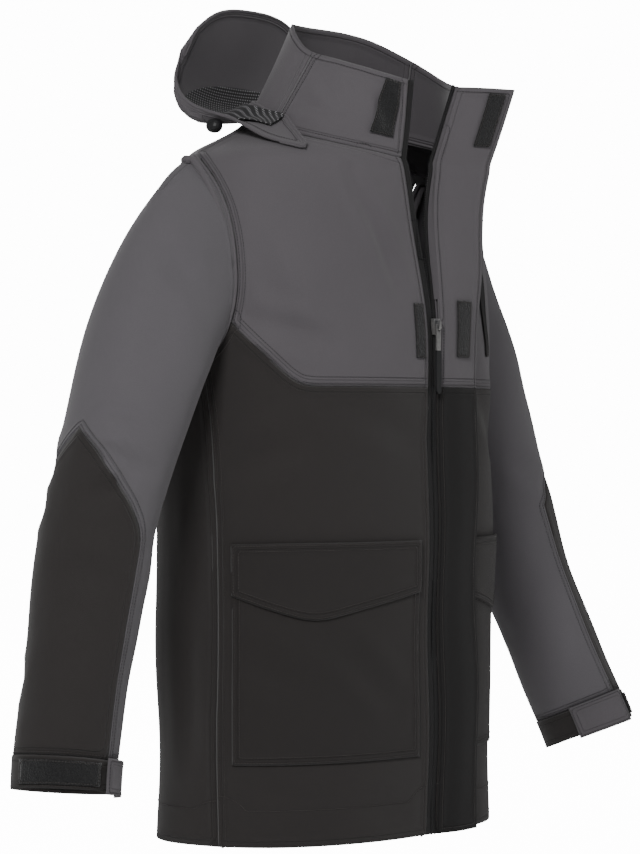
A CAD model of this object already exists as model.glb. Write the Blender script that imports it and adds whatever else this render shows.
# %% [markdown]
# # A softshell jacket in cloth
#
# The frame holds the jacket's cut pieces as plain walls. This script makes each of them into cloth, with
# its folds, weave, seams and stitches, and adds the zip's teeth. It ends with the light and the camera.

# %% Load the frame
import math

import bmesh
import bpy
import numpy as np
from mathutils import Matrix, Vector
from mathutils.bvhtree import BVHTree
from mathutils.kdtree import KDTree


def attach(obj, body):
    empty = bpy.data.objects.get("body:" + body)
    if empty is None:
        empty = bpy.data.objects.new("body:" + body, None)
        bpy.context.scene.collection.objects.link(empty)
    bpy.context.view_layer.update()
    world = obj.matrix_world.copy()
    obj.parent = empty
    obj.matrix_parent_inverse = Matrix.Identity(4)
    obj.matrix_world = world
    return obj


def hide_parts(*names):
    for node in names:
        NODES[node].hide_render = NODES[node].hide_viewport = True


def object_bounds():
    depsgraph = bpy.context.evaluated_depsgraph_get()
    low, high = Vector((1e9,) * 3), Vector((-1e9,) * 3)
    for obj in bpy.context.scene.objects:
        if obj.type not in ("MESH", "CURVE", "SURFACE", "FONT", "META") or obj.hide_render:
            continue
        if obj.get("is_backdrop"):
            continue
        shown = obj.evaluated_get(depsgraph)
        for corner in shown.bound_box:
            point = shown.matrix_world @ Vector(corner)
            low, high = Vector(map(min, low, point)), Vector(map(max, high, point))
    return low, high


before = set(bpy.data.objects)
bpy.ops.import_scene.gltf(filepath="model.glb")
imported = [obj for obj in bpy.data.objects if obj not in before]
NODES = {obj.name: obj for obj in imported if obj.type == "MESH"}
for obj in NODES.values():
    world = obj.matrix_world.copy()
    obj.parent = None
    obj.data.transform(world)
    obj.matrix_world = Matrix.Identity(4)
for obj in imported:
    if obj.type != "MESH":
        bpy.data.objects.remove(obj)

CAD_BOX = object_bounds()
GARMENT = "garment"
MM = 0.001
print(len(NODES), "nodes in the frame")

# %% [markdown]
# ## Helpers for shader nodes
#
# A shader effect that several materials share is a node group. Its outputs are colours, masks and heights.
# The Principled shader stays in the material, and its constants stay on its own sockets.

# %% Node helpers
def add_node(tree, kind, inputs=None, **settings):
    """A new node with its properties and inputs set, and its linked inputs joined."""
    node = tree.nodes.new(kind)
    for name, value in settings.items():
        setattr(node, name, value)
    for key, value in (inputs or {}).items():
        if isinstance(value, bpy.types.NodeSocket):
            tree.links.new(value, node.inputs[key])
        else:
            node.inputs[key].default_value = value
    return node


def maths(tree, operation, *values):
    """The output of one Math node."""
    return add_node(tree, "ShaderNodeMath", dict(enumerate(values)), operation=operation).outputs[0]


def own_place(tree):
    """The piece's own coordinates."""
    return add_node(tree, "ShaderNodeTexCoord").outputs["Object"]


def noise(tree, scale, detail, **inputs):
    """Noise on the piece's own coordinates."""
    values = {"Vector": own_place(tree), "Scale": scale, "Detail": detail, **inputs}
    return add_node(tree, "ShaderNodeTexNoise", values).outputs[0]


def ramp(tree, value, low, high, first, last, kind="LINEAR"):
    """A value between low and high, turned into one between first and last."""
    values = {"Value": value, "From Min": low, "From Max": high, "To Min": first, "To Max": last}
    return add_node(tree, "ShaderNodeMapRange", values, interpolation_type=kind).outputs[0]


def new_group(name, inputs, outputs):
    """A shader group with float inputs and outputs, and its two end nodes."""
    group = bpy.data.node_groups.new(name, "ShaderNodeTree")
    for label, value in inputs.items():
        socket = group.interface.new_socket(label, in_out="INPUT", socket_type="NodeSocketFloat")
        socket.default_value = value
    for label in outputs:
        group.interface.new_socket(label, in_out="OUTPUT", socket_type="NodeSocketFloat")
    return group, group.nodes.new("NodeGroupInput"), group.nodes.new("NodeGroupOutput")


def use_group(tree, group, **values):
    """A group node in a material, with its inputs set by label."""
    return add_node(tree, "ShaderNodeGroup", values, node_tree=group)


print("node helpers ready")

# %% [markdown]
# ## Shared cloth effects
#
# *Weave* is the fine basket grain of the outer face, at about one millimetre. *Mottle* is the slow change
# of tone across a panel. *Seam* reads how far a point is from its piece's edge, and gives the roll of the
# seam allowance and the groove that the stitches pull.

# %% Weave, mottle and seam groups
def make_weave():
    group, source, sink = new_group("Weave", {"Scale": 900.0}, ("Height", "Fleck"))
    place = add_node(group, "ShaderNodeSeparateXYZ", {0: own_place(group)})
    around = maths(group, "ADD", place.outputs["X"], place.outputs["Y"])
    threads = []
    for value in (around, place.outputs["Z"]):
        turned = maths(group, "MULTIPLY", value, source.outputs["Scale"])
        threads.append(maths(group, "SINE", maths(group, "MULTIPLY", turned, 2 * math.pi)))
    basket = maths(group, "MULTIPLY", *threads)
    grain = noise(group, 1500.0, 3.0, Roughness=0.6)
    group.links.new(maths(group, "MULTIPLY_ADD", basket, 0.25, grain), sink.inputs["Height"])
    group.links.new(ramp(group, grain, 0.35, 0.7, 0.0, 1.0), sink.inputs["Fleck"])
    return group


def make_mottle():
    group, source, sink = new_group("Mottle", {"Size": 14.0}, ("Amount",))
    group.links.new(noise(group, source.outputs["Size"], 4.0), sink.inputs["Amount"])
    return group


def make_seam():
    group, source, sink = new_group("Seam", {"Row": 6.0, "Width": 1.1}, ("Height", "Groove"))
    edge = add_node(group, "ShaderNodeAttribute", attribute_name="edge_mm").outputs["Fac"]
    away = maths(group, "ABSOLUTE", maths(group, "SUBTRACT", edge, source.outputs["Row"]))
    groove = ramp(group, away, 0.0, source.outputs["Width"], 1.0, 0.0, "SMOOTHSTEP")
    roll = ramp(group, edge, 6.0, 13.0, 1.0, 0.0, "SMOOTHSTEP")
    lip = ramp(group, edge, 0.0, 1.8, 0.0, 1.0, "SMOOTHSTEP")
    height = maths(group, "MULTIPLY_ADD", groove, -0.8, maths(group, "MULTIPLY", roll, lip))
    group.links.new(height, sink.inputs["Height"])
    group.links.new(groove, sink.inputs["Groove"])
    return group


WEAVE, MOTTLE, SEAM = make_weave(), make_mottle(), make_seam()
print("groups:", WEAVE.name, MOTTLE.name, SEAM.name)

# %% [markdown]
# ## Materials
#
# The shell is a bonded softshell: matt, with a fine woven face that catches a little light at its edges.
# Its base colour mixes two tones by the fleck of the grain and is shaded a little by the mottle. The bump
# joins the weave to the seam's roll, so the same material shows its stitch lines wherever a piece ends.

# %% Cloth materials
def tone(red, green, blue):
    """A colour that was read from the photo in steps of 255, as the linear light that a shader takes."""
    return [((c / 255 + 0.055) / 1.055) ** 2.4 for c in (red, green, blue)] + [1.0]


def principled(name, **constants):
    """A new material with its Principled shader, whose constants stay on its own sockets."""
    material = bpy.data.materials.new(name)
    material.use_nodes = True
    shader = material.node_tree.nodes["Principled BSDF"]
    for socket, value in constants.items():
        shader.inputs[socket.replace("_", " ")].default_value = value
    return material, material.node_tree, shader


def blend(tree, factor, low, high):
    """A colour between two colours."""
    return add_node(tree, "ShaderNodeMix", {0: factor, 6: low, 7: high}, data_type="RGBA").outputs[2]


def shaded(colour, amount):
    """A colour made lighter or darker."""
    return [c * amount for c in colour[:3]] + [1.0]


def bump(tree, height, distance, strength, normal=None):
    """The normal of a Bump node, which may follow another."""
    values = {"Height": height, "Distance": distance, "Strength": strength}
    if normal is not None:
        values["Normal"] = normal
    return add_node(tree, "ShaderNodeBump", values).outputs["Normal"]


def connect(tree, shader, colour, normal):
    """Gives a shader its colour and its relief."""
    tree.links.new(colour, shader.inputs["Base Color"])
    tree.links.new(normal, shader.inputs["Normal"])


FLECK, FADE, GROOVE_SHARE, GROOVE_TONE = 0.16, 0.14, 0.35, 0.45


def make_cloth(name, colour, grain=900.0, seam=0.9, rough=0.86, sheen=0.18, row=6.0):
    """Woven shell cloth with fleck, mottle and a stitched edge."""
    material, tree, shader = principled(name, Roughness=rough, Sheen_Weight=sheen, Sheen_Roughness=0.55)
    weave = use_group(tree, WEAVE, Scale=grain)
    mottle = use_group(tree, MOTTLE, Size=11.0).outputs["Amount"]
    edge = use_group(tree, SEAM, Row=row)
    woven = blend(tree, weave.outputs["Fleck"], shaded(colour, 1 - FLECK), shaded(colour, 1 + FLECK))
    faded = blend(tree, mottle, shaded(colour, 1 - FADE), shaded(colour, 1 + FADE))
    groove = maths(tree, "MULTIPLY", edge.outputs["Groove"], GROOVE_SHARE)
    stitched = blend(tree, groove, blend(tree, 0.5, woven, faded), shaded(colour, GROOVE_TONE))
    fine = bump(tree, weave.outputs["Height"], 0.25 * MM, 0.55)
    soft = bump(tree, mottle, 4 * MM, 0.25, fine)
    connect(tree, shader, stitched, bump(tree, edge.outputs["Height"], seam * MM, 0.9, soft))
    return material


FINISH = {
    "grey shell": make_cloth("Grey shell", tone(95, 91, 95)),
    "grey sleeve": make_cloth("Grey sleeve", tone(99, 96, 100)),
    "grey lining side": make_cloth("Grey collar inside", tone(72, 70, 74), grain=700.0, sheen=0.3),
    "black shell": make_cloth("Black shell", tone(44, 40, 39), sheen=0.14),
    "black pocket": make_cloth("Black pocket", tone(40, 36, 35), sheen=0.12),
    "fleece": make_cloth("Black fleece back", tone(30, 29, 30), grain=350.0, seam=0.3, rough=0.95, sheen=0.4),
    "storm flap black": make_cloth("Storm flap black", tone(22, 20, 20), sheen=0.05),
    "tape": make_cloth("Zip tape", tone(26, 25, 26), grain=1100.0, seam=0.2, row=3.0, sheen=0.06),
}
print(len(FINISH), "cloth finishes")

# %% [markdown]
# ## Hook tape, mesh, rubber and metal
#
# Hook tape is a rough pile with a flat woven selvage. The hood's lining is an open knit, so its holes are
# dots in rows on the cloth's own places. The pull's tail and the cord locks are moulded rubber, and the
# slider is metal with a dark satin paint that is worn along its edges.

# %% Trim materials
def make_hook_tape():
    material, tree, shader = principled("Hook tape", Roughness=0.95, Sheen_Weight=0.25, Sheen_Roughness=0.5)
    values = {"Vector": own_place(tree), "Scale": 620.0, "Randomness": 0.8}
    pile = add_node(tree, "ShaderNodeTexVoronoi", values).outputs["Distance"]
    groove = use_group(tree, SEAM, Row=1.8, Width=0.7).outputs["Groove"]
    piled = blend(tree, pile, tone(40, 40, 41), tone(18, 18, 19))
    colour = blend(tree, maths(tree, "MULTIPLY", groove, 0.6), piled, tone(20, 20, 20))
    connect(tree, shader, colour, bump(tree, groove, -0.5 * MM, 0.8, bump(tree, pile, 1.2 * MM, 0.8)))
    return material


def make_mesh_lining():
    material, tree, shader = principled("Mesh lining", Roughness=0.7, Sheen_Weight=0.1, Sheen_Roughness=0.5)
    cloth_map = add_node(tree, "ShaderNodeAttribute", attribute_name="cloth_place").outputs["Vector"]
    place = add_node(tree, "ShaderNodeSeparateXYZ", {0: cloth_map})
    pitch = 1 / (4.2 * MM)
    row = maths(tree, "MULTIPLY", place.outputs["Y"], pitch)
    shift = maths(tree, "MULTIPLY", maths(tree, "MODULO", maths(tree, "FLOOR", row), 2.0), 0.5)
    column = maths(tree, "ADD", maths(tree, "MULTIPLY", place.outputs["X"], pitch), shift)
    from_middle = [maths(tree, "SUBTRACT", maths(tree, "FRACT", value), 0.5) for value in (row, column)]
    squares = [maths(tree, "MULTIPLY", value, value) for value in from_middle]
    away = maths(tree, "SQRT", maths(tree, "ADD", *squares))
    hole = ramp(tree, away, 0.16, 0.25, 1.0, 0.0, "SMOOTHSTEP")
    colour = blend(tree, hole, tone(40, 39, 41), tone(170, 169, 172))
    connect(tree, shader, colour, bump(tree, hole, -0.6 * MM, 0.9))
    return material


def make_grained(name, dark, light, scale, detail, depth, **constants):
    """A finish of fine grain between two tones, for rubber and thread."""
    material, tree, shader = principled(name, **constants)
    grain = noise(tree, scale, detail)
    connect(tree, shader, blend(tree, grain, dark, light), bump(tree, grain, depth, 0.5))
    return material


def make_painted_metal():
    material, tree, shader = principled("Painted zip metal", Metallic=0.85)
    rub = noise(tree, 260.0, 5.0)
    corner = add_node(tree, "ShaderNodeNewGeometry").outputs["Pointiness"]
    patch = maths(tree, "MULTIPLY", ramp(tree, corner, 0.5, 0.6, 0.0, 1.0), rub)
    colour = blend(tree, patch, tone(125, 125, 128), tone(205, 203, 200))
    tree.links.new(ramp(tree, rub, 0.0, 1.0, 0.28, 0.5), shader.inputs["Roughness"])
    connect(tree, shader, colour, bump(tree, rub, 0.1 * MM, 0.3))
    return material


FINISH["hook tape"] = make_hook_tape()
FINISH["mesh"] = make_mesh_lining()
FINISH["moulded"] = make_grained(
    "Moulded rubber", tone(22, 22, 23), tone(44, 44, 46), 900.0, 4.0, 0.2 * MM,
    Roughness=0.5, Specular_IOR_Level=0.45,
)
FINISH["metal"] = make_painted_metal()
print(len(FINISH), "finishes in all")

# %% [markdown]
# ## Folds
#
# Worn cloth is never a clean tube. The main creases are soft troughs with a low ridge on each side. Those
# that the photo shows are read from it: a pixel's ray finds the point on the jacket. The ones out of its
# sight are placed in millimetres. A fold moves every layer at a place alike, so a pocket stays on its
# front.

# %% The photo's camera, and the point that a pixel sees
IMAGE_WIDTH, IMAGE_HEIGHT = 640, 854
FOCAL_PIXELS = 3119
CAMERA_AT = Vector((-2.679, -2.093, -0.284))
AHEAD = Vector((0.788, 0.616, 0)).normalized()
RIGHT = AHEAD.cross(Vector((0, 0, 1)))


def cad_tree(names):
    """A search tree of some CAD pieces together."""
    corners, faces = [], []
    for name in names:
        mesh = NODES[name].data
        start = len(corners)
        corners += [v.co.copy() for v in mesh.vertices]
        faces += [[start + i for i in p.vertices] for p in mesh.polygons]
    return BVHTree.FromPolygons(corners, faces)


ALL_CLOTH = cad_tree(NODES)


def seen_at(u, v):
    """The jacket's point that shows at a pixel of the photo."""
    ray = AHEAD + RIGHT * ((u - IMAGE_WIDTH / 2) / FOCAL_PIXELS)
    ray.z += (IMAGE_HEIGHT / 2 - v) / FOCAL_PIXELS
    return ALL_CLOTH.ray_cast(CAMERA_AT, ray.normalized())[0]


print("the yoke's corner is seen at", [round(c, 3) for c in seen_at(250, 300)])

# %% Fold tables
# Pixels from and to, then how deep and how wide in millimetres. A ridge has a negative depth.
SEEN_FOLDS = [
    ((243, 318), (330, 345), 3.4, 12),
    ((352, 172), (402, 290), 3.0, 9),
    ((250, 250), (300, 330), 2.2, 14),
    ((300, 190), (345, 250), -1.8, 22),
    ((238, 470), (300, 440), 2.2, 15),
    ((330, 400), (420, 440), 1.8, 16),
    ((196, 480), (199, 640), 3.2, 10),
    ((212, 500), (210, 700), 2.4, 11),
    ((186, 560), (190, 760), 3.0, 12),
    ((245, 655), (300, 690), 1.8, 16),
    ((330, 640), (395, 700), 1.8, 14),
    ((250, 790), (400, 812), 1.6, 13),
    ((96, 448), (150, 470), 4.2, 10),
    ((104, 418), (148, 436), 3.0, 9),
    ((84, 500), (132, 478), 3.2, 10),
    ((150, 240), (205, 300), 2.6, 15),
    ((120, 330), (185, 360), 2.2, 14),
    ((60, 560), (110, 585), 2.2, 12),
    ((46, 660), (95, 650), 2.0, 12),
    ((30, 735), (90, 748), 2.6, 9),
    ((298, 102), (334, 118), 2.0, 7),
    ((318, 60), (332, 100), 1.6, 8),
    ((372, 80), (392, 130), 1.6, 8),
    ((520, 430), (548, 470), 2.6, 10),
    ((540, 510), (572, 540), 2.4, 10),
]
# Millimetres from and to, then depth and width, for the back and the far side
HIDDEN_FOLDS = [
    ((-150, 100, -120), (-60, 118, -190), 3.4, 18),
    ((150, 100, -120), (70, 118, -200), 3.4, 18),
    ((-190, 70, -250), (-100, 110, -310), 3.6, 17),
    ((190, 70, -240), (110, 110, -330), 3.6, 17),
    ((-120, 118, -420), (-60, 124, -640), 2.8, 20),
    ((60, 124, -400), (110, 118, -660), 2.8, 20),
    ((0, 126, -330), (-20, 126, -560), 2.0, 24),
    ((218, 20, -300), (215, 30, -600), 3.0, 14),
    ((190, -80, -300), (200, -70, -560), 2.6, 14),
    ((90, -138, -230), (170, -110, -300), 2.6, 16),
    ((60, -140, -80), (120, -120, -170), 2.4, 14),
    ((300, 70, -300), (400, 50, -330), 3.6, 11),
    ((310, 60, -370), (395, 40, -360), 3.4, 11),
    ((300, -50, -330), (380, -60, -350), 3.0, 11),
    ((-300, 70, -300), (-390, 50, -330), 3.6, 11),
    ((-310, 60, -370), (-400, 50, -365), 3.4, 11),
    ((340, -10, -520), (430, -60, -540), 2.4, 11),
    ((-350, 50, -520), (-430, 40, -535), 2.4, 11),
]
FOLD_STRENGTH, LONGEST_FOLD = 1.55, 0.35


def fold_lines():
    """Both tables as start, end, depth and width in metres."""
    lines = []
    for start, end, depth, width in SEEN_FOLDS:
        a, b = seen_at(*start), seen_at(*end)
        if a and b and (a - b).length < LONGEST_FOLD:
            lines.append((a, b, depth * FOLD_STRENGTH * MM, width * MM))
        else:
            print("this fold misses the jacket:", start, end)
    for start, end, depth, width in HIDDEN_FOLDS:
        lines.append((Vector(start) * MM, Vector(end) * MM, depth * FOLD_STRENGTH * MM, width * MM))
    return lines


FOLDS = fold_lines()
print(len(FOLDS), "folds")


# %% How far a point moves
RIPPLE = 1.8 * MM
RIPPLE_WAVES = [(23, 9, 14, 0.4), (11, 27, 19, 1.9), (31, 17, -26, 3.1), (-14, 38, 33, 4.6)]
END_DEPTH, RIDGE_HEIGHT, RIDGE_AWAY, RIDGE_SHARP = 0.35, 0.45, 1.9, 1.6


def press_in(points):
    """How deep each of the points, an array, is pressed in, in metres."""
    depth = np.zeros(len(points))
    for a, b, deep, wide in FOLDS:
        start, along = np.array(a), np.array(b - a)
        share = np.clip((points - start) @ along / (along @ along), 0, 1)
        away = np.linalg.norm(points - start - share[:, None] * along, axis=1) / wide
        fade = END_DEPTH + (1 - END_DEPTH) * np.sin(np.pi * share)
        ridge = RIDGE_HEIGHT * np.exp(-((away - RIDGE_AWAY) ** 2) * RIDGE_SHARP)
        depth += deep * fade * (np.exp(-away**2) - ridge)
    for kx, ky, kz, phase in RIPPLE_WAVES:
        depth += RIPPLE / 2 * np.sin(points @ np.array((kx, ky, kz)) + phase)
    return depth


chest = np.array([[0.1, -0.14, -0.2]])
print("a point on the chest is pressed in by", round(float(press_in(chest)[0]) / MM, 2), "mm")

# %% [markdown]
# ## Walls that become cloth
#
# Each CAD piece is a closed wall of flat faces. A copy of it is welded and its triangles are paired, its
# rims are creased, and Subdivision Surface rounds it. Then the folds press both faces alike, so that the
# wall stays thin. Every point also learns how far it is from the piece's edge, which the seam effect and
# the stitches use.

# %% Where the cloth's inside is
SIDES = ("right", "left")
ARM_MIDDLES = {
    "right": (
        (-110, -256, -3), (-230, -292, 2), (-350, -342, 4), (-470, -370, 5), (-590, -405, 4), (-665, -412, -3),
    ),
    "left": (
        (-110, 256, -2), (-230, 293, 14), (-350, 343, 12), (-470, 370, -18), (-590, 400, -63), (-665, 408, -84),
    ),
}
ON_ARM = ("sleeve", "sleeve_panel", "cuff", "cuff_hook", "cuff_tab")
TRUNK_HALF = np.array((0.225, 0.145))
SLEEVE_GAP = 7 * MM
TRUNK = {side: [f"front_yoke_{side}", f"front_lower_{side}", "back_yoke", "back_lower"] for side in SIDES}


def arm_of(node):
    """The side whose arm a piece goes round, or None."""
    stem, _, side = node.rpartition("_")
    return side if stem in ON_ARM else None


def outwards(points, node):
    """For each of the points, the level direction away from the trunk's or the arm's middle."""
    side = arm_of(node)
    middle = np.zeros((len(points), 2))
    if side:
        table = np.array(sorted(ARM_MIDDLES[side])) * MM
        for k in (0, 1):
            middle[:, k] = np.interp(points[:, 2], table[:, 0], table[:, k + 1])
    away = points[:, :2] - middle
    if not side:
        away = away / TRUNK_HALF ** 2
    away /= np.maximum(np.linalg.norm(away, axis=1), 1e-6)[:, None]
    return np.column_stack([away, np.zeros(len(points))])


def point_tree(points):
    """A search tree of points."""
    tree = KDTree(len(points))
    for number, point in enumerate(points):
        tree.insert(point, number)
    tree.balance()
    return tree


def armhole_points():
    """A tree of the points where the sleeves meet the trunk."""
    trunk = cad_tree(sorted({name for names in TRUNK.values() for name in names}))
    found = []
    for side in SIDES:
        for vertex in NODES[f"sleeve_{side}"].data.vertices:
            if trunk.find_nearest(vertex.co)[3] < SLEEVE_GAP:
                found.append(vertex.co.copy())
    return point_tree(found)


ARMHOLES = armhole_points()


# %% Weld, crease and round a piece
RIM_ANGLE, PAIR_ANGLE, PAIR_SKEW = (math.radians(degrees) for degrees in (50, 40, 60))
WELD = 0.02 * MM


def welded(node):
    """A CAD piece's shape with its corners merged and its triangles paired into four-sided faces."""
    shape = bmesh.new()
    shape.from_mesh(NODES[node].data)
    bmesh.ops.remove_doubles(shape, verts=shape.verts, dist=WELD)
    bmesh.ops.join_triangles(
        shape, faces=shape.faces[:], angle_face_threshold=PAIR_ANGLE, angle_shape_threshold=PAIR_SKEW
    )
    return shape


def rims(shape):
    """The edges where a wall turns over its rim."""
    return [e for e in shape.edges if len(e.link_faces) == 2 and e.calc_face_angle(0) > RIM_ANGLE]


def walls(shape, rim):
    """The two largest runs of faces that no rim crosses, which are the cloth's two faces."""
    rim, seen, runs = set(rim), set(), []
    for first in shape.faces:
        if first in seen:
            continue
        seen.add(first)
        run, waiting = [], [first]
        while waiting:
            face = waiting.pop()
            run.append(face)
            for edge in face.edges:
                if edge in rim:
                    continue
                for other in edge.link_faces:
                    if other not in seen:
                        seen.add(other)
                        waiting.append(other)
        runs.append(run)
    runs.sort(key=lambda run: -sum(f.calc_area() for f in run))
    return runs[:2]


def outer_first(pair, node):
    """The pair with the wall that looks away from the wearer first."""
    def score(run):
        middles = np.array([f.calc_center_median() for f in run])
        normals = np.array([f.normal for f in run])
        areas = np.array([f.calc_area() for f in run])
        return float((areas * (normals * outwards(middles, node)).sum(axis=1)).sum())

    return sorted(pair, key=score, reverse=True)


def to_mesh(name, shape, finish=None):
    """A mesh of a shape, with its finish."""
    mesh = bpy.data.meshes.new(name)
    shape.to_mesh(mesh)
    shape.free()
    if finish:
        mesh.materials.append(FINISH[finish])
    return mesh


def linked(name, mesh):
    """An object in the scene."""
    thing = bpy.data.objects.new(name, mesh)
    bpy.context.collection.objects.link(thing)
    return thing


def worked_out(carrier):
    """The mesh that a carrier's modifiers give. The carrier and its own mesh go."""
    ready = carrier.evaluated_get(bpy.context.evaluated_depsgraph_get())
    mesh, start = bpy.data.meshes.new_from_object(ready), carrier.data
    bpy.data.objects.remove(carrier)
    bpy.data.meshes.remove(start)
    return mesh


def rounded(shape, level):
    """The shape after Subdivision Surface, as a new mesh."""
    carrier = linked("rounding", to_mesh("rounding", shape))
    soften = carrier.modifiers.new("Rounding", "SUBSURF")
    soften.levels = soften.render_levels = level
    return worked_out(carrier)


print("armhole points:", len(ARMHOLES.find_range((0, 0, 0), 5)))


# %% Distances to an edge
EDGE_STEP = 1.2 * MM


def tree_along(edges):
    """A tree of points along edges, given as pairs of places, or None if there are none."""
    points = []
    for a, b in edges:
        count = max(1, int((b - a).length / EDGE_STEP))
        points += [a.lerp(b, k / count) for k in range(count + 1)]
    return point_tree(points) if points else None


def mesh_rims(mesh):
    """The rim edges of a finished mesh, as pairs of places."""
    shape = bmesh.new()
    shape.from_mesh(mesh)
    pairs = [(e.verts[0].co.copy(), e.verts[1].co.copy()) for e in rims(shape)]
    shape.free()
    return pairs


def places_of(mesh):
    """The mesh's points as an array."""
    flat = np.empty(len(mesh.vertices) * 3)
    mesh.vertices.foreach_get("co", flat)
    return flat.reshape(-1, 3)


def reach(points, tree):
    """The distance of each of the points from a tree, in metres."""
    return np.array([tree.find(p)[2] for p in points])


# %% Dress one piece
CLOTH_PIECES = {}
ARMHOLE_CALM = 32 * MM


def add_piece(name, mesh):
    """An object that rides on the garment, with its material slot."""
    piece = linked(name, mesh)
    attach(piece, GARMENT)
    return piece


def dress(node, outside, inside, slot, level):
    """Replaces a CAD piece by its cloth, and keeps what the stitches need."""
    shape = welded(node)
    crease = shape.edges.layers.float.new("crease_edge")
    rim = rims(shape)
    for edge in rim:
        edge[crease] = 1.0
    pair = outer_first(walls(shape, rim), node)
    for face in pair[1]:
        face.material_index = 1
    outer_area = sum(f.calc_area() for f in pair[0])
    mesh = rounded(shape, level)
    mesh.name = node
    mesh.materials.clear()
    for finish in (outside, inside):
        mesh.materials.append(FINISH[finish])
    points, edges = places_of(mesh), mesh_rims(mesh)
    fade = 1.0 if node == "hood" else np.clip(reach(points, ARMHOLES) / ARMHOLE_CALM, 0, 1)
    depth = press_in(points) * fade * fade * (3 - 2 * fade)
    moved = points - depth[:, None] * outwards(points, node)
    mesh.vertices.foreach_set("co", moved.ravel())
    distance = mesh.attributes.new("edge_mm", "FLOAT", "POINT")
    distance.data.foreach_set("value", reach(points, tree_along(edges)) / MM)
    if node == "hood_lining":
        across = mesh.attributes.new("cloth_place", "FLOAT_VECTOR", "POINT")
        unrolled = np.column_stack([points[:, 0], points[:, 1] + points[:, 2], np.zeros(len(points))])
        across.data.foreach_set("vector", unrolled.ravel())
    mesh.shade_smooth()
    mesh.set_sharp_from_angle(angle=RIM_ANGLE)
    mesh.update()
    cloth = add_piece(node + "_cloth", mesh)
    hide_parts(node)
    CLOTH_PIECES[node] = {"object": cloth, "flat_points": points, "edges": edges, "area": outer_area}
    return cloth


print("dress() ready")

# %% [markdown]
# ## The cut pieces
#
# The table names each piece's outer and inner finish, its material slot in the record, and how finely it is
# rounded. The trunk's inner face is the fleece that a softshell is bonded to.

# %% Dress every cut piece
GREY_SLOT, BLACK_SLOT, HOOK_SLOT = "grey_softshell", "black_softshell", "hook_tape"
# A star stands for the right and then the left side.
CUT_PIECES = [
    ("front_lower_*", "black shell", "fleece", BLACK_SLOT, 3),
    ("front_yoke_*", "grey shell", "fleece", GREY_SLOT, 3),
    ("back_lower", "black shell", "fleece", BLACK_SLOT, 2),
    ("back_yoke", "grey shell", "fleece", GREY_SLOT, 2),
    ("sleeve_*", "grey sleeve", "fleece", GREY_SLOT, 2),
    ("sleeve_panel_*", "black shell", "fleece", BLACK_SLOT, 2),
    ("cuff_*", "black shell", "black shell", BLACK_SLOT, 2),
    ("cuff_hook_*", "hook tape", "hook tape", HOOK_SLOT, 2),
    ("cuff_tab_*", "grey shell", "hook tape", GREY_SLOT, 3),
    ("collar_right", "grey shell", "grey lining side", GREY_SLOT, 3),
    ("collar_back", "grey shell", "grey lining side", GREY_SLOT, 3),
    ("collar_left", "grey shell", "grey lining side", GREY_SLOT, 3),
    ("hood", "grey shell", "grey lining side", GREY_SLOT, 3),
    ("hood_lining", "mesh", "mesh", "mesh_lining", 3),
    ("zip_tape_*", "tape", "tape", "zip_tape", 2),
    ("storm_flap_lower", "storm flap black", "storm flap black", BLACK_SLOT, 3),
    ("storm_flap_upper", "grey shell", "grey shell", GREY_SLOT, 3),
    ("pocket_*", "black pocket", "black pocket", BLACK_SLOT, 3),
    ("pocket_flap_*", "black pocket", "black pocket", BLACK_SLOT, 3),
    ("patch_collar", "hook tape", "hook tape", HOOK_SLOT, 3),
    ("patch_yoke", "hook tape", "hook tape", HOOK_SLOT, 3),
    ("patch_flap_top", "hook tape", "hook tape", HOOK_SLOT, 3),
    ("patch_flap_chest", "hook tape", "hook tape", HOOK_SLOT, 3),
    ("chest_zip", "tape", "tape", "zip_tape", 3),
]
for starred, *finishes in CUT_PIECES:
    for side in SIDES if "*" in starred else ("",):
        node = starred.replace("*", side)
        made = dress(node, *finishes)
        print(node, len(made.data.polygons), "faces,", round(CLOTH_PIECES[node]["area"] * 1e4), "cm2")

# %% [markdown]
# ## Metal and moulded pieces
#
# The slider, its pull, the rubber tail and the cord locks keep their CAD shape and get a finish.

# %% Finish the hard pieces
for node, finish in (
    ("zip_slider", "metal"), ("zip_pull", "metal"), ("zip_pull_tail", "moulded"),
    ("cord_lock_right", "moulded"), ("cord_lock_left", "moulded"),
):
    slots = NODES[node].material_slots
    if slots:
        slots[0].link = "OBJECT"
        slots[0].material = FINISH[finish]
    print(node, "gets", FINISH[finish].name)

# %% [markdown]
# ## Stitches
#
# A row of topstitching runs a few millimetres from a seam. Its path is the line on the cloth where the
# distance to that seam has one value, so it turns with every corner. Geometry Nodes then set a short thread
# at each step of the path. One tree serves both thread colours, with the stitch's length, gap and thickness
# as inputs.

# %% The line at one distance from some edges
def outer_triangles(mesh):
    """The triangles of the cloth's outer face, as rows of three point numbers."""
    mesh.calc_loop_triangles()
    outer = [t.vertices[:] for t in mesh.loop_triangles if mesh.polygons[t.polygon_index].material_index == 0]
    return np.array(outer)


def line_at(mesh, triangles, away, offset, lift):
    """Point pairs where the distances pass `offset`, lifted off the cloth."""
    segments = []
    corner_values = away[triangles]
    crossed = (corner_values.min(axis=1) < offset) & (corner_values.max(axis=1) >= offset)
    for corners in triangles[crossed].tolist():
        crossings = []
        for k in range(3):
            a, b = corners[k], corners[(k + 1) % 3]
            if (away[a] < offset) != (away[b] < offset):
                share = (offset - away[a]) / (away[b] - away[a])
                first, second = mesh.vertices[a], mesh.vertices[b]
                place = first.co.lerp(second.co, share)
                place += first.normal.lerp(second.normal, share) * lift
                crossings.append(((min(a, b), max(a, b)), place))
        if len(crossings) == 2:
            segments.append(crossings)
    return segments


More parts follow.
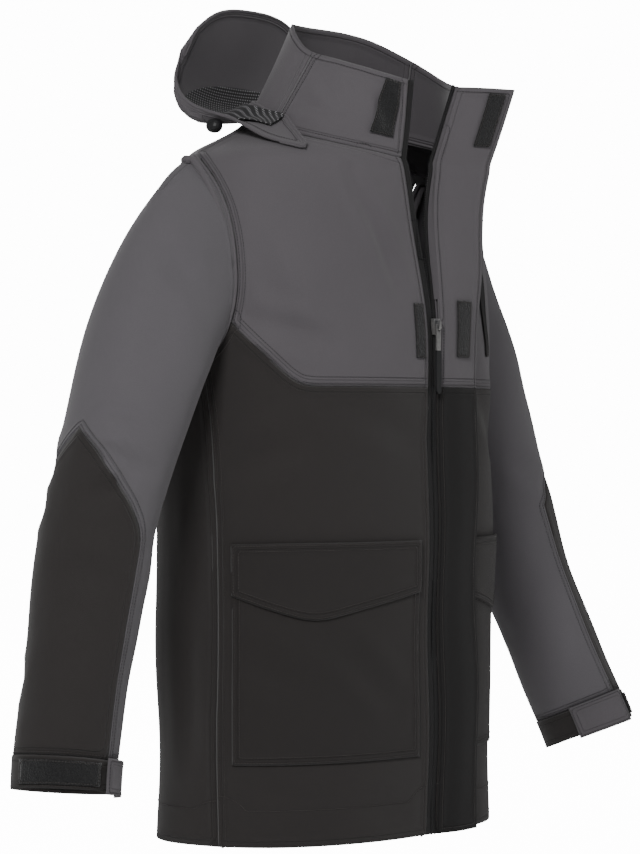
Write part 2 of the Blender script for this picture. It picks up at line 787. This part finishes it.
def join_segments(groups):
    """One mesh of edges from many groups of segments, with shared ends merged within a group."""
    points, edges = [], []
    for segments in groups:
        known = {}
        for pair in segments:
            ends = []
            for key, place in pair:
                if key not in known:
                    known[key] = len(points)
                    points.append(place)
                ends.append(known[key])
            if ends[0] != ends[1]:
                edges.append(ends)
    mesh = bpy.data.meshes.new("stitch path")
    mesh.from_pydata(points, edges, [])
    return mesh


HEM_TOP = -700 * MM


def stitch_row(node, beside, offset, lift=0.25 * MM, within=2.6 * MM):
    """The path of one row on a piece: beside other pieces, or on its whole edge, its free edge or its hem."""
    piece = CLOTH_PIECES[node]
    edges = piece["edges"]
    if beside == "hem":
        edges = [e for e in edges if max(e[0].z, e[1].z) < HEM_TOP]
    elif beside != "edge":
        others = cad_tree([n for n in NODES if n != node] if beside == "free" else beside)
        near = [others.find_nearest((a + b) / 2)[3] < within for a, b in edges]
        edges = [e for e, close in zip(edges, near) if close != (beside == "free")]
    tree = tree_along(edges)
    if tree is None:
        print("no such edge on", node, beside)
        return []
    mesh = piece["object"].data
    away = reach(piece["flat_points"], tree)
    return line_at(mesh, piece["triangles"], away, offset * MM, lift)


for piece in CLOTH_PIECES.values():
    piece["triangles"] = outer_triangles(piece["object"].data)
print("rows can be placed on", len(CLOTH_PIECES), "pieces")


# %% Trees that follow a path
def link(tree, source, output, target, name):
    tree.links.new(source.outputs[output], target.inputs[name])


def start_tree(name, sizes):
    """A tree with named inputs, its two end nodes, and its path as a curve of even steps."""
    tree = bpy.data.node_groups.new(name, "GeometryNodeTree")
    tree.interface.new_socket("Path", in_out="INPUT", socket_type="NodeSocketGeometry")
    for label, value in sizes.items():
        kind = "NodeSocketFloat" if isinstance(value, float) else "NodeSocketVector"
        tree.interface.new_socket(label, in_out="INPUT", socket_type=kind).default_value = value
    tree.interface.new_socket("Finish", in_out="INPUT", socket_type="NodeSocketMaterial")
    tree.interface.new_socket("Result", in_out="OUTPUT", socket_type="NodeSocketGeometry")
    source, sink = tree.nodes.new("NodeGroupInput"), tree.nodes.new("NodeGroupOutput")
    curve = tree.nodes.new("GeometryNodeMeshToCurve")
    spaced = add_node(tree, "GeometryNodeResampleCurve", mode="LENGTH")
    link(tree, source, "Path", curve, "Mesh")
    link(tree, curve, "Curve", spaced, "Curve")
    return tree, source, sink, spaced


def set_along(tree, spaced, shape):
    """A node that sets a shape on each point of the curve, turned along it."""
    tangent = tree.nodes.new("GeometryNodeInputTangent")
    turn = add_node(tree, "FunctionNodeAlignRotationToVector", axis="Z")
    each = tree.nodes.new("GeometryNodeInstanceOnPoints")
    link(tree, spaced, "Curve", each, "Points")
    link(tree, shape, "Mesh", each, "Instance")
    link(tree, tangent, "Tangent", turn, "Vector")
    link(tree, turn, "Rotation", each, "Rotation")
    return each


def end_tree(tree, source, sink, made, output):
    """Realizes what a node made, and puts it out in its finish."""
    real = tree.nodes.new("GeometryNodeRealizeInstances")
    finish = tree.nodes.new("GeometryNodeSetMaterial")
    link(tree, made, output, real, "Geometry")
    link(tree, real, "Geometry", finish, "Geometry")
    link(tree, source, "Finish", finish, "Material")
    link(tree, finish, "Geometry", sink, "Result")
    return tree


def make_sewing():
    """Threads of one size, laid along every path of a mesh of edges."""
    sizes = {"Stitch": 2.3 * MM, "Gap": 0.9 * MM, "Thread": 0.35 * MM}
    tree, source, sink, spaced = start_tree("Sewing", sizes)
    step = tree.nodes.new("ShaderNodeMath")
    thread = add_node(tree, "GeometryNodeMeshCylinder", {"Vertices": 5})
    link(tree, source, "Stitch", step, 0)
    link(tree, source, "Gap", step, 1)
    link(tree, step, 0, spaced, "Length")
    link(tree, source, "Stitch", thread, "Depth")
    link(tree, source, "Thread", thread, "Radius")
    return end_tree(tree, source, sink, set_along(tree, spaced, thread), "Instances")


def grow(name, path, tree, slot, **values):
    """A plain mesh from a path and a Geometry Nodes tree, riding on the garment."""
    carrier = linked(name + " path", path)
    modifier = carrier.modifiers.new("Nodes", "NODES")
    modifier.node_group = tree
    sockets = {s.name: s.identifier for s in tree.interface.items_tree if s.in_out == "INPUT"}
    for label, value in values.items():
        modifier[sockets[label]] = value
    mesh = worked_out(carrier)
    add_piece(name, mesh)
    print(name, len(mesh.polygons), "faces")


SEWING = make_sewing()


# %% Thread finishes and rows
def make_thread(name, colour):
    return make_grained(
        name, shaded(colour, 0.75), shaded(colour, 1.25), 700.0, 2.0, 0.1 * MM,
        Roughness=0.6, Sheen_Weight=0.2, Sheen_Roughness=0.4,
    )


GREY_ROWS, BLACK_ROWS = [], []
for side in SIDES:
    yoke, lower, sleeve = f"front_yoke_{side}", f"front_lower_{side}", f"sleeve_{side}"
    panel, cuff, tape = f"sleeve_panel_{side}", f"cuff_{side}", f"zip_tape_{side}"
    collar, flap = f"collar_{side}", f"pocket_flap_{side}"
    GREY_ROWS += [
        (yoke, [lower], 2.5), (yoke, [lower], 9.5), (yoke, [sleeve], 3), (yoke, [sleeve], 8.5),
        (yoke, [tape], 5), (sleeve, [panel], 2.5), (sleeve, [panel], 7.5), (sleeve, [cuff], 3),
        ("back_yoke", [sleeve], 3), ("back_yoke", [sleeve], 8.5), (f"cuff_tab_{side}", "edge", 2.5),
        (collar, "free", 5.5),
        (collar, ["collar_back"], 3), (collar, ["collar_back"], 7.5), (collar, [yoke], 4), (collar, [tape], 5),
    ]
    BLACK_ROWS += [
        (lower, [sleeve], 3), (lower, [sleeve], 8.5), (lower, ["back_lower"], 3), (lower, ["back_lower"], 8.5),
        (lower, [tape], 5), (lower, "hem", 38), (cuff, "free", 3), (f"pocket_{side}", "edge", 2.5),
        (f"pocket_{side}", "edge", 8), (flap, "edge", 2.5), (flap, "edge", 8),
        (f"cuff_hook_{side}", "edge", 1.6), (panel, [cuff], 3),
    ]
GREY_ROWS += [
    ("back_yoke", ["back_lower"], 2.5), ("back_yoke", ["back_lower"], 9.5), ("collar_back", "free", 5.5),
    ("hood", "free", 8), ("storm_flap_upper", "free", 5), ("storm_flap_upper", ["storm_flap_lower"], 2.5),
    ("storm_flap_upper", ["storm_flap_lower"], 9.5),
]
BLACK_ROWS += [
    ("back_lower", "hem", 38), ("storm_flap_lower", "free", 5),
    *((patch, "edge", 1.6) for patch in ("patch_collar", "patch_yoke", "patch_flap_top", "patch_flap_chest")),
    ("chest_zip", "edge", 1.4),
]
for name, rows, colour, row_slot in (
    ("stitches_grey", GREY_ROWS, tone(52, 49, 52), GREY_SLOT),
    ("stitches_black", BLACK_ROWS, tone(62, 57, 56), BLACK_SLOT),
):
    path = join_segments([stitch_row(*row) for row in rows])
    grow(name, path, SEWING, row_slot, Finish=make_thread(name.replace("_", " "), colour))

# %% [markdown]
# ## Rolled seams
#
# Where cloth is turned in at the armholes, shoulders, collar and hood edge, the fold stands up as a small
# roll. A round tube runs along the seam, half sunk in the cloth. Thicker ones inside the armholes and the
# other seams stand for the turned-in edges, which close the slots between the pieces.

# %% A tree that makes a tube, and the rolls
def make_rolling():
    """A round tube along every path of a mesh of edges."""
    tree, source, sink, spaced = start_tree("Rolling", {"Step": 4 * MM, "Radius": 1.6 * MM})
    ring = add_node(tree, "GeometryNodeCurvePrimitiveCircle", {"Resolution": 10})
    tube = add_node(tree, "GeometryNodeCurveToMesh", {"Fill Caps": True})
    link(tree, source, "Step", spaced, "Length")
    link(tree, source, "Radius", ring, "Radius")
    link(tree, spaced, "Curve", tube, "Curve")
    link(tree, ring, "Curve", tube, "Profile Curve")
    return end_tree(tree, source, sink, tube, "Mesh")


def sunk(segments, node, depth):
    """Segments on a piece, moved inwards by a depth."""
    points = np.array([place for pair in segments for _, place in pair])
    moved = iter(points - outwards(points, node) * depth)
    return [[(key, Vector(next(moved))) for key, _ in pair] for pair in segments]


ROLLING = make_rolling()
INNER_SEAMS = [("back_yoke", ["back_lower"])]
for side in SIDES:
    yoke, lower, sleeve = f"front_yoke_{side}", f"front_lower_{side}", f"sleeve_{side}"
    INNER_SEAMS += [
        (yoke, [lower]), (lower, ["back_lower"]), (sleeve, [f"sleeve_panel_{side}"]),
        (sleeve, [f"cuff_{side}"]), (lower, [f"zip_tape_{side}"]), (yoke, [f"zip_tape_{side}"]),
    ]
FRONT_YOKES = ["front_yoke_right", "front_yoke_left"]
NEAR, WIDE_SLOT, NAPE_SLOT = 4 * MM, 7 * MM, 9 * MM
ROLLS = [
    ("armhole_roll", [
        stitch_row(f"sleeve_{side}", TRUNK[side], 0.5, lift=-1.9 * MM, within=NEAR) for side in SIDES
    ], 2.0),
    ("armhole_allowance", [
        sunk(stitch_row(f"sleeve_{side}", TRUNK[side], 3, lift=0, within=WIDE_SLOT), f"sleeve_{side}", 7 * MM)
        for side in SIDES
    ], 3.8),
    ("seam_allowance", [
        sunk(stitch_row(node, beside, 1, lift=0, within=NEAR), node, 2.8 * MM) for node, beside in INNER_SEAMS
    ], 2.3),
    ("shoulder_roll", [
        stitch_row("back_yoke", [yoke], 0.7, lift=-1.7 * MM, within=WIDE_SLOT) for yoke in FRONT_YOKES
    ], 2.4),
    ("neck_roll", [
        stitch_row(f"collar_{side}", [f"front_yoke_{side}", "back_yoke"], 0.8, lift=-0.6 * MM) for side in SIDES
    ], 1.5),
    ("nape_roll", [
        stitch_row("collar_back", ["back_yoke", *FRONT_YOKES], 0.8, lift=-1 * MM, within=NAPE_SLOT)
    ], 2.6),
    ("hood_roll", [stitch_row("hood", "free", 1.6, lift=-0.2 * MM)], 1.2),
]
for name, segments, radius in ROLLS:
    grow(name, join_segments(segments), ROLLING, GREY_SLOT, Radius=radius * MM, Finish=FINISH["grey shell"])

# %% The stays under the corners at the armholes
STAY_HALF, STAY_DEPTH = Vector((11, 11, 2.6)) * MM, 3.2 * MM
SHOULDER_OUT, CHEST_OUT = (0.5, 0, 0.86), (0.35, -0.94, 0)


def corner_of(first, *others):
    """The point of one piece that is nearest to all the others."""
    trees = [cad_tree([name]) for name in others]
    points = [v.co for v in NODES[first].data.vertices]
    return min(points, key=lambda p: sum(tree.find_nearest(p)[3] for tree in trees))


def add_stay(name, corner, hand, out):
    """A lens of cloth just inside a corner."""
    outward = Vector((out[0] * hand, out[1], out[2]))
    place = Matrix.Translation(corner - outward * STAY_DEPTH)
    turn = outward.to_track_quat("Z", "Y").to_matrix().to_4x4()
    shape = bmesh.new()
    lens_shape = place @ turn @ Matrix.Diagonal(STAY_HALF.to_4d())
    bmesh.ops.create_icosphere(shape, subdivisions=3, radius=1, matrix=lens_shape)
    add_piece(name, to_mesh(name, shape, "grey lining side"))
    print(name, "at", [round(c / MM) for c in place.translation])


for side, hand in zip(SIDES, (-1, 1)):
    yoke, sleeve = f"front_yoke_{side}", f"sleeve_{side}"
    add_stay(f"shoulder_stay_{side}", corner_of("back_yoke", yoke, sleeve), hand, SHOULDER_OUT)
    add_stay(f"chest_stay_{side}", corner_of(yoke, f"front_lower_{side}", sleeve), hand, CHEST_OUT)

# %% The reinforcement behind the zip's foot
FOOT_HALF, FOOT_BEHIND = Vector((9, 0.6, 22)) * MM, 1.6 * MM
tape_foot = sorted((v.co for v in NODES["zip_tape_right"].data.vertices), key=lambda p: p.z)[:8]
foot_back = max(p.y for p in tape_foot) + FOOT_BEHIND
foot_place = Matrix.Translation((0, foot_back, CAD_BOX[0].z + FOOT_HALF.z))
foot_shape = bmesh.new()
bmesh.ops.create_cube(foot_shape, size=2, matrix=foot_place @ Matrix.Diagonal(FOOT_HALF.to_4d()))
add_piece("zip_foot", to_mesh("zip_foot", foot_shape, "tape"))
print("zip foot at", [round(c / MM) for c in foot_place.translation])

# %% [markdown]
# ## The flap's root
#
# The storm flap is sewn to the collar's front edge, where the CAD leaves a slot. A narrow strip bridges it:
# each point on the flap's inner edge is joined to the nearest point of the zip tape or the collar.

# %% The strip
STRIP_HALF, STRIP_MARGIN, STRIP_CUT = 0.8 * MM, 1.5 * MM, 12 * MM
STRIP_REACH, STRIP_BOTTOM, STRIP_STEP = 9 * MM, -150 * MM, 6 * MM


def strip_points():
    """Pairs of points along the slot, from low to high."""
    collar = cad_tree(["collar_left", "zip_tape_left"])
    closest = {}
    for a, b in CLOTH_PIECES["storm_flap_upper"]["edges"]:
        middle = (a + b) / 2
        nearest, _, _, gap = collar.find_nearest(middle)
        if gap < STRIP_REACH and middle.z > STRIP_BOTTOM:
            height = round(middle.z / STRIP_STEP)
            if height not in closest or gap < closest[height][2]:
                closest[height] = (middle.copy(), nearest.copy(), gap)
    return [closest[height][:2] for height in sorted(closest)]


pairs = strip_points()
strip_vertices, strip_faces = [], []
for flap_point, collar_point in pairs:
    across = (flap_point - collar_point).normalized() * STRIP_MARGIN
    out = across.cross(Vector((0, 0, 1))).normalized() * STRIP_HALF
    ends = flap_point + across, collar_point - across
    strip_vertices += [ends[0] + out, ends[1] + out, ends[1] - out, ends[0] - out]
for row in range(len(pairs) - 1):
    low = 4 * row
    strip_faces += [(low + k, low + (k + 1) % 4, low + 4 + (k + 1) % 4, low + 4 + k) for k in range(4)]
strip_faces += [(3, 2, 1, 0), tuple(range(len(strip_vertices) - 4, len(strip_vertices)))]
strip_mesh = bpy.data.meshes.new("flap_root")
strip_mesh.from_pydata(strip_vertices, [], strip_faces)
strip_shape = bmesh.new()
strip_shape.from_mesh(strip_mesh)
bmesh.ops.recalc_face_normals(strip_shape, faces=strip_shape.faces)
strip_shape.to_mesh(strip_mesh)
strip_shape.free()
strip_mesh.materials.append(FINISH["grey shell"])
flap_root = add_piece("flap_root", strip_mesh)

# %% [markdown]
# ## Zip teeth
#
# Each tape carries a row of small moulded teeth on its inner edge. Below the slider the two rows mesh, so
# the left row starts half a step later. The path is read from the tape itself, and the same kind of tree
# sets a bevelled block at each step.

# %% The teeth
TOOTH_STEP, TOOTH = 2.6 * MM, Vector((2.3, 1.5, 1.25)) * MM
TAPE_ROW, TAPE_EDGE, TOOTH_OVER = 4 * MM, 1.5 * MM, 0.2 * MM


def tape_path(side, hand, start):
    """The inner edge of a tape, from the hem up, as a mesh of edges."""
    rows = {}
    for vertex in NODES[f"zip_tape_{side}"].data.vertices:
        rows.setdefault(round(vertex.co.z / TAPE_ROW), []).append(vertex.co)
    inner = []
    for key in sorted(rows):
        edge = min(p.x * hand for p in rows[key])
        close = [p for p in rows[key] if p.x * hand < edge + TAPE_EDGE]
        inner.append(sum(close, Vector()) / len(close))
    ready = [Vector((p.x - hand * TOOTH_OVER, p.y, p.z)) for p in inner]
    ready[0].z += start
    mesh = bpy.data.meshes.new("tape edge")
    mesh.from_pydata(ready, [(i, i + 1) for i in range(len(ready) - 1)], [])
    return mesh


def make_toothing():
    """Bevelled blocks at even steps along a path."""
    tree, source, sink, spaced = start_tree("Toothing", {"Step": TOOTH_STEP, "Size": TOOTH})
    block = tree.nodes.new("GeometryNodeMeshCube")
    soften = add_node(tree, "GeometryNodeSubdivisionSurface", {"Level": 1, "Edge Crease": 0.6})
    link(tree, source, "Step", spaced, "Length")
    link(tree, source, "Size", block, "Size")
    link(tree, block, "Mesh", soften, "Mesh")
    return end_tree(tree, source, sink, set_along(tree, spaced, soften), "Instances")


TOOTHING = make_toothing()
for side, hand, start in (("right", -1, 0), ("left", 1, TOOTH_STEP / 2)):
    path = tape_path(side, hand, start)
    grow(f"zip_teeth_{side}", path, TOOTHING, "zip_tape", Finish=FINISH["moulded"])

# %% [markdown]
# ## What each sheet was cut from
#
# Every cloth piece is a sheet, so the scene says how large its flat cut is, how it is held and what it lies
# on. The cut is the rectangle that the pattern piece is laid out in, and it is an estimate. The area is
# that of the CAD wall's outer face, before rounding and folds, so it isn't taken from a pattern either.

# %% [markdown]
# ## Floor, light and camera
#
# A pale floor and a pale world give the even backdrop of a product photo. Both look brighter to the camera
# than the light they give, so the cloth isn't washed out. Three large soft lamps shape it. The camera
# stands where the photo was taken.

# %% The floor
FLOOR_DROP, FLOOR_HALF, BACKDROP, AMBIENT = 0.10, 9.0, 14.0, 0.2
PALE, WHITE = (0.9, 0.9, 0.9, 1.0), (1.0, 1.0, 1.0, 1.0)


def glow(tree, target, low):
    """Sets a strength that is BACKDROP to the camera and low to everything else."""
    seen = add_node(tree, "ShaderNodeLightPath").outputs["Is Camera Ray"]
    tree.links.new(maths(tree, "MULTIPLY_ADD", seen, BACKDROP - low, low), target)


floor_z = CAD_BOX[0].z - FLOOR_DROP
floor_corners = [(x * FLOOR_HALF, y * FLOOR_HALF, floor_z) for x, y in ((-1, -1), (1, -1), (1, 1), (-1, 1))]
floor_mesh = bpy.data.meshes.new("floor")
floor_mesh.from_pydata(floor_corners, [], [(0, 1, 2, 3)])
floor_material, floor_tree, floor_shader = principled(
    "Pale floor", Base_Color=PALE, Emission_Color=WHITE, Roughness=0.9
)
glow(floor_tree, floor_shader.inputs["Emission Strength"], 0)
floor_mesh.materials.append(floor_material)
linked("floor", floor_mesh)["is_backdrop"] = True

# %% Lights and world
world = bpy.data.worlds.new("Studio")
world.use_nodes = True
background = world.node_tree.nodes["Background"]
background.inputs["Color"].default_value = WHITE
glow(world.node_tree, background.inputs["Strength"], AMBIENT)
bpy.context.scene.world = world
LAMP_AIM = Vector((0, 0, -0.3))
LAMPS = {
    "key": ((-3.4, -1.6, 1.9), 92, 1.1),
    "fill": ((1.5, -3.2, 1.0), 18, 2.0),
    "back": ((1.6, 3.0, 1.6), 40, 1.6),
}
for name, (place, power, size) in LAMPS.items():
    light = bpy.data.lights.new(name, "AREA")
    light.energy, light.size = power, size
    lamp = linked(name, light)
    lamp.location = place
    lamp.rotation_euler = (LAMP_AIM - Vector(place)).to_track_quat("-Z", "Y").to_euler()
    print(name, "lamp,", power, "W")

# %% The camera
SENSOR = 36
lens = bpy.data.cameras.new("photo camera")
lens.sensor_fit = "AUTO"
lens.sensor_width = SENSOR
lens.lens = FOCAL_PIXELS * SENSOR / IMAGE_HEIGHT
camera = linked("photo camera", lens)
camera.location = CAMERA_AT
camera.rotation_euler = AHEAD.to_track_quat("-Z", "Y").to_euler()
bpy.context.scene.camera = camera
print("camera at", [round(c, 3) for c in CAMERA_AT])

# %% Sizes, and the end
corners = {"cad": CAD_BOX, "visual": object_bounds()}
for name, (low, high) in corners.items():
    print(name, [round(c, 4) for c in low], [round(c, 4) for c in high])
